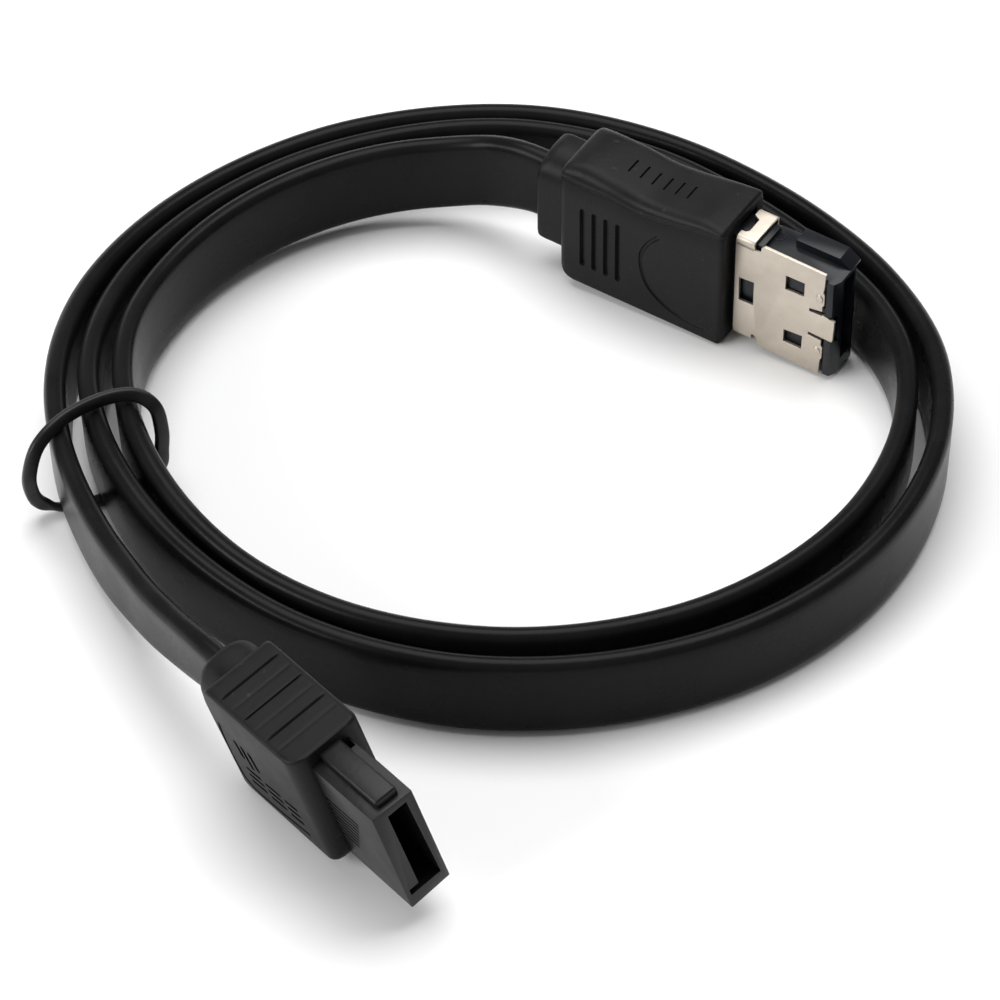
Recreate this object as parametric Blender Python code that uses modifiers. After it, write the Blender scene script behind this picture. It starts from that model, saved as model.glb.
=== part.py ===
import math

import bmesh
import bpy
import numpy as np
from mathutils import Matrix, Vector

for old in list(bpy.data.objects):
    bpy.data.objects.remove(old, do_unlink=True)

# Units and general clearances. Lengths below are in millimetres.
MM = 0.001
FIT = 0.3

# Whole layout moved so that the plugs' middle stands over the origin
LAYOUT_SHIFT = (-4.085, 7.61, 0.0)

# Flat cable
CABLE_WIDTH = 7.7
CABLE_THICK = 1.9
CABLE_ARC_STEPS = 4
CABLE_STATIONS = 78
LOOP_CENTRE = (0.0, 9.0)

# Plug poses: place of the moulding's front face, then roll, pitch, yaw in degrees
ESATA_PLACE = (21.42, 22.9, 7.05)
ESATA_TURN = (4.8, 2.46, -33.14)
SATA_PLACE = (-11.61, -43.12, 8.02)
SATA_TURN = (16.0, -3.46, -52.08)

# Plug at the external end
E_BODY_LENGTH = 17.0
E_BODY_HEIGHT = 13.6
E_BODY_THICK = 7.14
E_NECK_END = -20.0
E_NECK_HEIGHT = 9.9
E_NECK_THICK = 4.6
E_NOSE_HEIGHT = 12.24
E_NOSE_THICK = 4.28
E_SHEET = 0.3
E_PLATE_END = 9.7
E_INSERT_END = 10.85
E_RAIL_HEIGHT = 0.92
E_NECK_RISE = 0.2
E_CABLE_RISE = -0.1

# Plug at the internal end
S_BODY_LENGTH = 11.8
S_BODY_HEIGHT = 13.9
S_BODY_THICK = 6.8
S_NECK_END = -14.5
S_NECK_HEIGHT = 8.6
S_NECK_THICK = 5.0
S_NOSE_END = 7.73
S_NOSE_HEIGHT = 11.6
S_NOSE_THICK = 3.94
S_NECK_RISE = 1.8
S_CABLE_RISE = 1.7

# Contacts, seven in each plug
CONTACT_COUNT = 7
CONTACT_PITCH = 1.27
CONTACT_WIDTH = 0.6
CONTACT_ROOM = 0.39
INNER_WALL = 0.7

# Tie ring: section, then a hand-chosen route over the bundle, down outside it and back beneath. The last
# number of each point is the section's turn in degrees: 0 lies flat beneath the bundle, 90 stands on edge.
TIE_BAND_WIDE = 1.25
TIE_BAND_THICK = 0.75
TIE_STEPS = 44
TIE_ROUTE = (
    (-31.3, 2.6, 9.75, 90), (-34.0, 1.8, 9.85, 90), (-36.9, -0.5, 9.8, 90), (-39.0, -2.6, 8.6, 90),
    (-39.9, -3.3, 5.9, 90), (-39.9, -2.7, 3.3, 90), (-39.3, -2.0, 1.5, 70), (-37.7, -1.6, 0.65, 20),
    (-35.3, -1.0, 0.5, 0), (-32.8, 0.4, 0.5, 0), (-30.6, 1.7, 0.6, 20), (-29.3, 2.3, 1.9, 70),
    (-29.1, 2.4, 3.8, 90), (-29.0, 2.3, 6.0, 90), (-29.5, 2.4, 8.6, 90))

# Cable route round the coil: angle from +X, radius, height of the centre line, lean outward
ROUTE = (
    (93.5, 28.95, 6.45, -3), (100, 30.0, 5.75, -1), (107, 30.8, 5.35, 0), (115, 31.4, 5.05, 0),
    (125, 31.8, 4.85, 0), (140, 32.1, 4.75, 1), (155, 32.4, 4.6, 2), (170, 32.6, 4.85, 3),
    (184, 32.4, 5.05, 3), (200, 32.15, 5.05, 2), (214, 32.2, 4.6, 1), (230, 32.45, 4.05, 0),
    (245, 32.8, 3.95, 0), (270, 33.35, 3.95, 0), (300, 34.1, 3.95, 0), (330, 34.8, 3.95, 0),
    (350, 35.15, 3.95, 0), (366, 35.2, 3.95, 0), (376, 34.5, 3.95, 0), (387, 33.4, 3.95, 0), (405, 32.65, 3.95, 0),
    (425, 33.5, 3.95, 0), (447, 34.65, 3.95, 0), (480, 34.85, 3.95, 0), (500, 35.05, 4.0, 0),
    (522, 35.35, 4.5, 1), (543, 35.45, 5.05, 2), (560, 35.0, 5.05, 2), (580, 34.95, 4.4, 0),
    (602, 35.7, 4.0, 0), (623, 36.55, 3.95, 0), (643, 37.2, 3.95, 0), (663, 37.9, 3.95, 0),
    (685, 38.35, 3.95, 0), (710, 38.35, 3.95, 1), (724, 37.95, 3.95, 1), (740, 36.75, 3.95, 0),
    (755, 35.7, 3.95, 0), (769, 35.4, 3.95, 0), (785, 35.9, 3.95, 0), (803, 36.75, 3.95, 0),
    (832, 37.1, 3.95, 0), (855, 37.3, 3.95, 0), (886, 38.0, 4.6, 1), (903, 38.3, 5.05, 2),
    (915, 38.5, 5.05, 3), (926, 38.83, 5.05, 4), (935, 39.55, 5.3, 5), (940.8, 40.25, 5.75, 7),
    (946.9, 41.4, 6.5, 10), (953.1, 42.8, 7.4, 13))

scene = bpy.context.scene
parts = bpy.data.collections.new("esata_to_sata_cable")
tools = bpy.data.collections.new("cutters")
scene.collection.children.link(parts)
scene.collection.children.link(tools)


def material(name, colour, roughness, metallic=0.0):
    mat = bpy.data.materials.new(name)
    mat.use_nodes = True
    shader = mat.node_tree.nodes["Principled BSDF"]
    shader.inputs["Base Color"].default_value = (*colour, 1.0)
    shader.inputs["Roughness"].default_value = roughness
    shader.inputs["Metallic"].default_value = metallic
    mat.diffuse_color = (*colour, 1.0)
    return mat


JACKET = material("jacket_black", (0.022, 0.022, 0.023), 0.42)
TIE = material("tie_black", (0.026, 0.026, 0.027), 0.45)
MOULD = material("mould_black", (0.020, 0.020, 0.021), 0.5)
HOUSING = material("housing_black", (0.018, 0.018, 0.020), 0.4)
INSERT = material("insert_blue_black", (0.012, 0.014, 0.019), 0.3)
SHELL = material("shell_nickel", (0.72, 0.66, 0.58), 0.3, 1.0)
CONTACT = material("contact_gold", (0.83, 0.62, 0.28), 0.28, 1.0)
LEAD = material("lead_tin", (0.66, 0.64, 0.61), 0.35, 1.0)
INNER = material("inner_mould_grey", (0.09, 0.09, 0.095), 0.55)


def link(obj, where):
    where.objects.link(obj)
    return obj


def pivot(name, place, turn):
    empty = link(bpy.data.objects.new(name, None), parts)
    empty.empty_display_size = 0.005
    empty.location = [(v + move) * MM for v, move in zip(place, LAYOUT_SHIFT)]
    empty.rotation_euler = [math.radians(v) for v in turn]
    return empty


def to_mesh(obj, name, where, mat=None):
    """Swap a curve object for a plain mesh of its evaluated shape."""
    depsgraph = bpy.context.evaluated_depsgraph_get()
    depsgraph.update()
    mesh = bpy.data.meshes.new_from_object(obj.evaluated_get(depsgraph))
    tidy = bmesh.new()
    tidy.from_mesh(mesh)
    bmesh.ops.remove_doubles(tidy, verts=tidy.verts, dist=0.000002)
    bmesh.ops.recalc_face_normals(tidy, faces=tidy.faces)
    tidy.to_mesh(mesh)
    tidy.free()
    new = link(bpy.data.objects.new(name, mesh), where)
    new.matrix_world = obj.matrix_world.copy()
    bpy.data.objects.remove(obj, do_unlink=True)
    mesh.materials.clear()
    if mat:
        mesh.materials.append(mat)
    return new


def block(name, low, high, where, mat=None):
    """A box from its low corner to its high corner."""
    bpy.ops.mesh.primitive_cube_add(size=1.0)
    obj = bpy.context.object
    obj.name = name
    obj.data.name = name
    for held in list(obj.users_collection):
        held.objects.unlink(obj)
    where.objects.link(obj)
    size = [(b - a) * MM for a, b in zip(low, high)]
    centre = [(a + b) * 0.5 * MM for a, b in zip(low, high)]
    obj.data.transform(Matrix.Translation(centre) @ Matrix.Diagonal((*size, 1.0)))
    if mat:
        obj.data.materials.append(mat)
    return obj


def side_slab(name, outlines, low_y, high_y, where, mat=None):
    """A slab cut to outlines given in X and Z, reaching from low_y to high_y."""
    curve = bpy.data.curves.new(name + "_outline", "CURVE")
    curve.dimensions = "2D"
    curve.fill_mode = "BOTH"
    curve.extrude = (high_y - low_y) * 0.5 * MM
    for outline in outlines:
        spline = curve.splines.new("POLY")
        spline.points.add(len(outline) - 1)
        for point, (x, z) in zip(spline.points, outline):
            point.co = (x * MM, z * MM, 0.0, 1.0)
        spline.use_cyclic_u = True
    obj = link(bpy.data.objects.new(name + "_curve", curve), where)
    slab = to_mesh(obj, name, where, mat)
    upright = Matrix.Rotation(math.radians(90.0), 4, "X")
    slab.data.transform(Matrix.Translation((0.0, (low_y + high_y) * 0.5 * MM, 0.0)) @ upright)
    return slab


def rounded_outline(corners, radius, steps=4):
    """Corner points with every corner turned into a small arc."""
    result = []
    count = len(corners)
    for i in range(count):
        before = Vector(corners[i - 1])
        here = Vector(corners[i])
        after = Vector(corners[(i + 1) % count])
        first = (before - here).normalized()
        second = (after - here).normalized()
        half = first.angle(second) * 0.5
        reach = min(radius / math.tan(half), (before - here).length * 0.45, (after - here).length * 0.45)
        start = here + first * reach
        stop = here + second * reach
        for k in range(steps + 1):
            t = k / steps
            point = start * (1 - t) ** 2 + here * (2 * t * (1 - t)) + stop * t ** 2
            result.append((point.x, point.y))
    return result


def bevel(obj, width, segments=2, angle=30.0):
    mod = obj.modifiers.new("Rounded edges", "BEVEL")
    mod.width = width * MM
    mod.segments = segments
    mod.limit_method = "ANGLE"
    mod.angle_limit = math.radians(angle)
    mod.use_clamp_overlap = True
    return mod


def boolean(obj, tool, operation):
    mod = obj.modifiers.new(operation.title(), "BOOLEAN")
    mod.operation = operation
    mod.solver = "EXACT"
    mod.object = tool
    if operation == "DIFFERENCE" or tool.name in tools.objects:
        tool.hide_render = True
        tool.display_type = "WIRE"
    return mod


def hold(obj, parent):
    obj.parent = parent
    return obj


def contact_rows():
    middle = (CONTACT_COUNT - 1) * 0.5
    return [(i + 1, (i - middle) * CONTACT_PITCH) for i in range(CONTACT_COUNT)]


# Half height of the tunnel round a plug's row of contacts, and of the inner mould round that
row_half = (CONTACT_COUNT - 1) * 0.5 * CONTACT_PITCH + CONTACT_WIDTH * 0.5 + CONTACT_ROOM
inner_half = row_half + INNER_WALL


# Plug at the external end: pivot at the middle of the moulding's front face
esata = pivot("esata_plug", ESATA_PLACE, ESATA_TURN)
half_h = E_BODY_HEIGHT * 0.5
half_t = E_BODY_THICK * 0.5

# Moulded body with a waisted upper edge, a neck, finger grooves and small ribs
profile = [
    (0.0, -half_h), (0.0, half_h), (-2.0, half_h), (-5.0, half_h - 0.35), (-8.5, half_h - 0.6),
    (-12.0, half_h - 0.25), (-15.3, half_h), (-E_BODY_LENGTH, half_h - 0.5),
    (-E_BODY_LENGTH, -half_h + 1.6), (-E_BODY_LENGTH + 1.6, -half_h)]
body = side_slab("esata_overmould", [profile], -half_t, half_t, parts, MOULD)
hold(body, esata)
bevel(body, 1.1, 3, 25)
neck = block("esata_neck", (E_NECK_END, -E_NECK_THICK * 0.5, E_NECK_RISE - E_NECK_HEIGHT * 0.5),
             (-E_BODY_LENGTH + 1.5, E_NECK_THICK * 0.5, E_NECK_RISE + E_NECK_HEIGHT * 0.5), tools)
hold(neck, esata)
bevel(neck, 0.9, 3)
boolean(body, neck, "UNION")
for i in range(4):
    x = -14.55 + i * 1.27
    for side in (-1, 1):
        groove = block("esata_groove", (x - 0.3, side * half_t - 0.45, -4.3),
                       (x + 0.3, side * half_t + 0.45, 2.75), tools)
        hold(groove, esata)
        boolean(body, groove, "DIFFERENCE")
for i in range(6):
    x = -11.35 + i * 1.22
    mark = block("esata_mark", (x - 0.14, -0.85, half_h - 0.8), (x + 0.14, 0.85, half_h + 0.5), tools)
    hold(mark, esata)
    boolean(body, mark, "DIFFERENCE")
for low, high in (((-1.8, -2.2, -5.95), (1.0, 2.2, 5.95)), ((-13.6, -2.2, -inner_half - FIT), (-1.5, 2.2, inner_half + FIT))):
    room = block("esata_room", low, high, tools)
    hold(room, esata)
    boolean(body, room, "DIFFERENCE")

# Folded metal shell: a plate on each wide side, joined by a strap over each narrow side
near = -E_NOSE_THICK * 0.5
tall = E_NOSE_HEIGHT * 0.5
plate_outline = [
    (0.6, -5.3), (0.9, -5.3), (0.9, -tall), (2.55, -tall), (2.55, -5.4), (3.2, -5.4), (3.2, -tall),
    (E_PLATE_END - 0.2, -tall), (E_PLATE_END - 0.2, -4.6), (E_PLATE_END, -4.5), (E_PLATE_END, -2.05),
    (8.25, -1.95), (8.25, -1.6), (10.4, -1.65), (10.5, -1.4), (10.5, 0.7), (10.4, 0.95),
    (8.25, 0.95), (8.25, 1.3), (E_PLATE_END, 1.7), (E_PLATE_END, 4.3), (E_PLATE_END - 0.15, 4.4),
    (E_PLATE_END - 0.15, tall), (3.25, tall), (3.25, 5.5), (2.6, 5.5), (2.6, tall), (0.6, tall)]
windows = [
    [(5.75, 2.25), (7.7, 2.25), (7.7, 4.0), (5.75, 4.0)],
    [(5.75, -4.2), (7.7, -4.2), (7.7, -2.45), (5.75, -2.45)],
    [(1.1, -1.5), (2.7, -1.5), (2.7, 1.2), (1.1, 1.2)]]
shell = side_slab("esata_shell", [plate_outline] + windows, near, near + E_SHEET, parts, SHELL)
hold(shell, esata)
far_outline = [
    (0.6, -4.95), (0.9, -tall + 0.1), (2.6, -tall + 0.1), (2.8, -4.8), (7.6, -4.8), (7.6, 4.8), (2.8, 4.8),
    (2.6, tall - 0.1), (0.9, tall - 0.1), (0.6, 4.95)]
far_plate = side_slab("esata_shell_far", [far_outline], -near - E_SHEET, -near, tools)
hold(far_plate, esata)
boolean(shell, far_plate, "UNION")
for side in (-1, 1):
    outer = side * (tall - 0.02)
    inner = side * (tall - E_SHEET)
    strap = block("esata_strap", (0.98, near + 0.04, min(outer, inner)), (2.47, -near - 0.04, max(outer, inner)),
                  tools)
    hold(strap, esata)
    boolean(shell, strap, "UNION")

# Plastic insert inside the shell, open at the front for the mating tongue; its upper narrow side steps down
# and keeps a rail along the far side with a sloping front end
insert_side = near + E_SHEET + 0.2
insert_tall = tall - E_SHEET - 0.2
insert = block("esata_insert", (-1.0, insert_side, -insert_tall), (E_INSERT_END, -insert_side, insert_tall),
               parts, INSERT)
hold(insert, esata)
bevel(insert, 0.25, 1)
for side in (-1, 1):
    lip = block("esata_lip", (E_PLATE_END + 0.35, near + 0.1, side * 4.0 - 1.95),
                (E_INSERT_END - 0.02, near + 1.5, side * 4.0 + 1.95), tools)
    hold(lip, esata)
    boolean(insert, lip, "UNION")
for side in (-1, 1):
    cap = block("esata_cap", (3.0, insert_side + 0.02, side * (tall - 0.6) - 0.5),
                (E_INSERT_END - 0.02, -near - 0.05, side * (tall - 0.6) + 0.5), tools)
    hold(cap, esata)
    shoulder = block("esata_shoulder", (8.0, -insert_side - 0.6, side * 3.2 - 2.6),
                     (E_INSERT_END - 0.02, -near - 0.05, side * 3.2 + 2.6), tools)
    hold(shoulder, esata)
    boolean(insert, cap, "UNION")
    boolean(insert, shoulder, "UNION")
mouth_half = row_half + 0.3
ledge = max(tall - E_RAIL_HEIGHT, mouth_half + 0.35)
for low, high in (((2.6, -3.0, ledge), (E_INSERT_END + 1.0, 0.3, tall + 1.0)),
                  ((2.6, -1.0, ledge), (5.3, 3.0, tall + 1.0))):
    step = block("esata_step", low, high, tools)
    hold(step, esata)
    boolean(insert, step, "DIFFERENCE")
slope = side_slab("esata_slope", [[(9.7, tall + 0.5), (9.7, tall - 0.1), (11.7, tall - 1.6), (11.7, tall + 0.5)]],
                  -0.5, 3.0, tools)
hold(slope, esata)
boolean(insert, slope, "DIFFERENCE")
mouth = block("esata_mouth", (1.5, -0.75, -mouth_half), (E_INSERT_END + 1.0, 1.15, mouth_half), tools)
hold(mouth, esata)
boolean(insert, mouth, "DIFFERENCE")
for index, z in contact_rows():
    slot = block("esata_slot", (-2.0, -0.95, z - 0.42), (1.8, -0.05, z + 0.42), tools)
    hold(slot, esata)
    boolean(insert, slot, "DIFFERENCE")

# Inner mould behind the insert, then the contacts and the leads behind them
e_inner = block("esata_inner_mould", (-8.6, -1.9, -inner_half), (-1.3, 1.9, inner_half), parts, INNER)
hold(e_inner, esata)
bevel(e_inner, 0.4, 2)
e_tunnel = block("esata_tunnel", (-9.5, -0.95, -row_half), (0.0, -0.05, row_half), tools)
hold(e_tunnel, esata)
boolean(e_inner, e_tunnel, "DIFFERENCE")
for index, z in contact_rows():
    low = z - CONTACT_WIDTH * 0.5
    high = z + CONTACT_WIDTH * 0.5
    blade = [(-8.0, -0.62), (1.5, -0.62), (6.6, -0.42), (8.4, 0.02), (9.2, -0.28), (9.3, -0.13),
             (8.4, 0.2), (6.5, -0.22), (1.5, -0.4), (-8.0, -0.4)]
    bar = side_slab("esata_contact_%d" % index, [[(x, y) for x, y in blade]], -high, -low, parts, CONTACT)
    bar.data.transform(Matrix.Rotation(math.radians(-90.0), 4, "X"))
    hold(bar, esata)
    lead = block("esata_lead_%d" % index, (-13.2, -0.72, z - 0.26), (-8.9, -0.2, z + 0.26), parts, LEAD)
    hold(lead, esata)

# Plug at the internal end
sata = pivot("sata_plug", SATA_PLACE, SATA_TURN)
half_h = S_BODY_HEIGHT * 0.5
half_t = S_BODY_THICK * 0.5
profile = [
    (0.0, -half_h + 1.6), (0.0, half_h), (-S_BODY_LENGTH, half_h), (-12.4, half_h - 0.9), (-13.1, 3.0),
    (-13.3, -1.5), (-13.3, -half_h + 1.3), (-12.1, -half_h + 0.2), (-1.7, -half_h + 0.2), (-0.6, -half_h + 0.7)]
body = side_slab("sata_overmould", [profile], -half_t, half_t, parts, MOULD)
hold(body, sata)
bevel(body, 0.7, 3, 25)
neck = block("sata_neck", (S_NECK_END, -S_NECK_THICK * 0.5, S_NECK_RISE - S_NECK_HEIGHT * 0.5),
             (-9.0, S_NECK_THICK * 0.5, S_NECK_RISE + S_NECK_HEIGHT * 0.5), tools)
hold(neck, sata)
bevel(neck, 1.5, 4)
boolean(body, neck, "UNION")
for x, depth in ((-9.95, 0.4), (-8.4, 0.2), (-6.85, 0.4), (-5.3, 0.2), (-3.8, 0.4), (-2.3, 0.2)):
    for side in (-1, 1):
        groove = block("sata_groove", (x - 0.22, -half_t + 0.75, side * half_h - depth),
                       (x + 0.22, half_t - 0.75, side * half_h + depth), tools)
        hold(groove, sata)
        boolean(body, groove, "DIFFERENCE")
room = block("sata_room", (-9.4, -S_NOSE_THICK * 0.5 - FIT, -S_NOSE_HEIGHT * 0.5 - 0.25 - FIT),
             (1.0, S_NOSE_THICK * 0.5 + FIT, 6.4), tools)
hold(room, sata)
boolean(body, room, "DIFFERENCE")

# Housing with the key bar on its narrow side and the L-shaped opening in front
s_low = -S_NOSE_HEIGHT * 0.5 - 0.25
s_high = S_NOSE_HEIGHT * 0.5 - 0.25
housing = block("sata_housing", (-3.0, -S_NOSE_THICK * 0.5, s_low), (S_NOSE_END, S_NOSE_THICK * 0.5, s_high),
                parts, HOUSING)
hold(housing, sata)
bevel(housing, 0.15, 1)
key_bar = block("sata_key_bar", (-2.5, -0.95, s_high - 0.5), (7.2, 1.2, 6.1), tools)
hold(key_bar, sata)
bevel(key_bar, 0.2, 1)
boolean(housing, key_bar, "UNION")
slot_low = -row_half - 0.25
slot_high = row_half + 0.2
opening = side_slab("sata_opening", [[(-1.65, slot_low), (1.45, slot_low), (1.45, slot_high), (-0.6, slot_high),
                                     (-0.6, slot_low + 0.65), (-1.65, slot_low + 0.65)]], -9.0, -1.0, tools)
opening.data.transform(Matrix.Rotation(math.radians(90.0), 4, "Z"))
hold(opening, sata)
boolean(housing, opening, "DIFFERENCE")
for index, z in contact_rows():
    slot = block("sata_slot", (-4.0, -0.75, z - 0.42), (1.3, 0.15, z + 0.42), tools)
    hold(slot, sata)
    boolean(housing, slot, "DIFFERENCE")
s_inner = block("sata_inner_mould", (-7.4, -1.8, -inner_half), (-3.3, 1.8, inner_half), parts, INNER)
hold(s_inner, sata)
bevel(s_inner, 0.35, 2)
s_tunnel = block("sata_tunnel", (-8.5, -0.75, -row_half), (-2.5, 0.15, row_half), tools)
hold(s_tunnel, sata)
boolean(s_inner, s_tunnel, "DIFFERENCE")
for index, z in contact_rows():
    low = z - CONTACT_WIDTH * 0.5
    high = z + CONTACT_WIDTH * 0.5
    blade = [(-7.0, -0.42), (1.2, -0.42), (3.3, -0.28), (4.5, 0.25), (5.2, -0.1), (5.3, 0.05),
             (4.5, 0.42), (3.2, -0.08), (1.2, -0.2), (-7.0, -0.2)]
    bar = side_slab("sata_contact_%d" % index, [[(x, y) for x, y in blade]], -high, -low, parts, CONTACT)
    bar.data.transform(Matrix.Rotation(math.radians(-90.0), 4, "X"))
    hold(bar, sata)
    lead = block("sata_lead_%d" % index, (-9.1, -0.57, z - 0.26), (-7.7, -0.05, z + 0.26), parts, LEAD)
    hold(lead, sata)

bpy.context.view_layer.update()


# Flat cable: a stadium section swept along the route between the two necks
def smooth_route():
    """Points along a smooth curve through the route points, with the lean at each."""
    start = esata.matrix_world
    stop = sata.matrix_world
    ends = []
    for frame, end, rise, ahead in ((start, E_NECK_END, E_CABLE_RISE, 1.2), (stop, S_NECK_END, S_CABLE_RISE, 2.0)):
        tip = frame @ Vector(((end - FIT) * MM, 0.0, rise * MM))
        out = frame @ Vector(((end - FIT - ahead) * MM, 0.0, rise * MM))
        ends.append((tip, out))
    knots = [ends[0][0], ends[0][1]]
    leans = [-ESATA_TURN[0], -ESATA_TURN[0]]
    for angle, radius, height, lean in ROUTE:
        turn = math.radians(angle)
        x = LOOP_CENTRE[0] + LAYOUT_SHIFT[0] + radius * math.cos(turn)
        y = LOOP_CENTRE[1] + LAYOUT_SHIFT[1] + radius * math.sin(turn)
        knots.append(Vector((x * MM, y * MM, height * MM)))
        leans.append(lean)
    knots += [ends[1][1], ends[1][0]]
    leans += [SATA_TURN[0], SATA_TURN[0]]
    where = [0.0]
    for a, b in zip(knots, knots[1:]):
        where.append(where[-1] + (b - a).length)
    where = np.array(where)
    values = np.array([[*p, l] for p, l in zip(knots, leans)])
    slopes = np.gradient(values, where, axis=0)
    slopes[0] = (values[1] - values[0]) / (where[1] - where[0])
    slopes[-1] = (values[-1] - values[-2]) / (where[-1] - where[-2])
    lead_in = np.array((0.0, 1.5, 3.4)) * MM
    between = np.linspace(7.0 * MM, where[-1] - 7.0 * MM, CABLE_STATIONS - 6)
    spots = np.concatenate((lead_in, between, where[-1] - lead_in[::-1]))
    found = []
    for s in spots:
        i = int(min(max(np.searchsorted(where, s) - 1, 0), len(where) - 2))
        span = where[i + 1] - where[i]
        t = (s - where[i]) / span
        h0 = 2 * t ** 3 - 3 * t ** 2 + 1
        h1 = t ** 3 - 2 * t ** 2 + t
        h2 = -2 * t ** 3 + 3 * t ** 2
        h3 = t ** 3 - t ** 2
        found.append(h0 * values[i] + h1 * span * slopes[i] + h2 * values[i + 1] + h3 * span * slopes[i + 1])
    return found


def section_curve():
    """The cable's cross-section: two flat sides and two rounded edges."""
    curve = bpy.data.curves.new("cable_section", "CURVE")
    curve.dimensions = "2D"
    curve.fill_mode = "NONE"
    radius = CABLE_THICK * 0.5
    reach = CABLE_WIDTH * 0.5 - radius
    ring = []
    for side in (1, -1):
        for k in range(CABLE_ARC_STEPS + 1):
            turn = math.radians(180.0 * k / CABLE_ARC_STEPS)
            ring.append((side * radius * math.cos(turn), side * (reach + radius * math.sin(turn))))
    ring.reverse()
    spline = curve.splines.new("POLY")
    spline.points.add(len(ring) - 1)
    for point, (x, y) in zip(spline.points, ring):
        point.co = (x * MM, y * MM, 0.0, 1.0)
    spline.use_cyclic_u = True
    obj = link(bpy.data.objects.new("cable_section", curve), tools)
    obj.hide_render = True
    return obj


stations = smooth_route()
path = bpy.data.curves.new("cable_jacket", "CURVE")
path.dimensions = "3D"
path.twist_mode = "Z_UP"
path.bevel_mode = "OBJECT"
path.bevel_object = section_curve()
path.use_fill_caps = True
line = path.splines.new("POLY")
line.points.add(len(stations) - 1)
for point, station in zip(line.points, stations):
    point.co = (station[0], station[1], station[2], 1.0)
    point.tilt = math.radians(station[3])
path.materials.append(JACKET)
cable = link(bpy.data.objects.new("cable_jacket", path), parts)


# Tie ring: a closed flat band lofted along its route
def tie_ring():
    knots = [Vector(p[:3]) + Vector(LAYOUT_SHIFT) for p in TIE_ROUTE]
    count = len(knots)
    spots = []
    turns = []
    for k in range(TIE_STEPS):
        place = k * count / TIE_STEPS
        i = int(place)
        t = place - i
        a, b, c, d = (knots[(i + j) % count] for j in (-1, 0, 1, 2))
        spots.append(0.5 * (2 * b + (c - a) * t + (2 * a - 5 * b + 4 * c - d) * t ** 2
                            + (3 * b - a - 3 * c + d) * t ** 3))
        first, last = (TIE_ROUTE[(i + j) % count][3] for j in (0, 1))
        turns.append(math.radians(first + (last - first) * t * t * (3 - 2 * t)))
    middle = sum(spots, Vector()) / TIE_STEPS
    through = Vector()
    for a, b in zip(spots, spots[1:] + spots[:1]):
        through += (a - middle).cross(b - middle)
    build = bmesh.new()
    rows = []
    for k, spot in enumerate(spots):
        ahead = (spots[(k + 1) % TIE_STEPS] - spots[k - 1]).normalized()
        out = ahead.cross(through).normalized()
        side = ahead.cross(out)
        corners = ((0.5, 0.32), (0.32, 0.5), (-0.32, 0.5), (-0.5, 0.32),
                   (-0.5, -0.32), (-0.32, -0.5), (0.32, -0.5), (0.5, -0.32))
        row = []
        wide = side * math.cos(turns[k]) + out * math.sin(turns[k])
        thin = out * math.cos(turns[k]) - side * math.sin(turns[k])
        for along, away in corners:
            point = spot + wide * (along * TIE_BAND_WIDE) + thin * (away * TIE_BAND_THICK)
            row.append(build.verts.new(point * MM))
        rows.append(row)
    for k in range(TIE_STEPS):
        here = rows[k]
        after = rows[(k + 1) % TIE_STEPS]
        for j in range(8):
            build.faces.new((here[j], here[(j + 1) % 8], after[(j + 1) % 8], after[j]))
    bmesh.ops.recalc_face_normals(build, faces=build.faces)
    mesh = bpy.data.meshes.new("tie_ring")
    build.to_mesh(mesh)
    build.free()
    mesh.materials.append(TIE)
    link(bpy.data.objects.new("tie_ring", mesh), parts)


tie_ring()

for held in parts.objects:
    if held.type == "MESH":
        held.data.shade_smooth()
        held.data.set_sharp_from_angle(angle=math.radians(35.0))
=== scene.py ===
import math

import bmesh
import bpy
from mathutils import Matrix, Vector


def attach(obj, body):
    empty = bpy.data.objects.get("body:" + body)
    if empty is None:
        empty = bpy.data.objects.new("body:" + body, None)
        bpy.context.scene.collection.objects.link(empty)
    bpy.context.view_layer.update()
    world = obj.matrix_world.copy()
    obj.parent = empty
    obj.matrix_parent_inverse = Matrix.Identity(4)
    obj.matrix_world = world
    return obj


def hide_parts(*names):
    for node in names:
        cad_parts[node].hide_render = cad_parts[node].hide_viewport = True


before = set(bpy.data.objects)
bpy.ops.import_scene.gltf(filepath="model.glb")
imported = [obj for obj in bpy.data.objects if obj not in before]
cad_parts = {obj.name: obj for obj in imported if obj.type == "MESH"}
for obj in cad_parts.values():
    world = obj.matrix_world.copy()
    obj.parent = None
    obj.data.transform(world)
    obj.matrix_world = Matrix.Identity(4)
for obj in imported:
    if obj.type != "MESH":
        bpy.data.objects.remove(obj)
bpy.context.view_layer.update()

# Shapes are in millimetres; SHIFT takes a point of the layout to the part's own origin
MM = 0.001
SHIFT = Vector((-4.085, 7.61, 0.0))
scene = bpy.context.scene
pieces = bpy.data.collections.new("dressed_pieces")
scene.collection.children.link(pieces)

# Camera: a long lens, 42 degrees above the surface, looking along +Y
LENS = 162.0
SENSOR = 36.0
CAMERA_REACH = 0.388
ELEVATION = math.radians(42.05)

camera_data = bpy.data.cameras.new("camera")
camera_data.lens = LENS
camera_data.sensor_width = SENSOR
camera_data.clip_start = 0.02
camera_data.clip_end = 20.0
camera = bpy.data.objects.new("camera", camera_data)
camera.location = (SHIFT.x * MM, SHIFT.y * MM - CAMERA_REACH * math.cos(ELEVATION),
                   CAMERA_REACH * math.sin(ELEVATION))
camera.rotation_euler = (math.radians(90.0) - ELEVATION, 0.0, 0.0)
scene.collection.objects.link(camera)
scene.camera = camera


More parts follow.
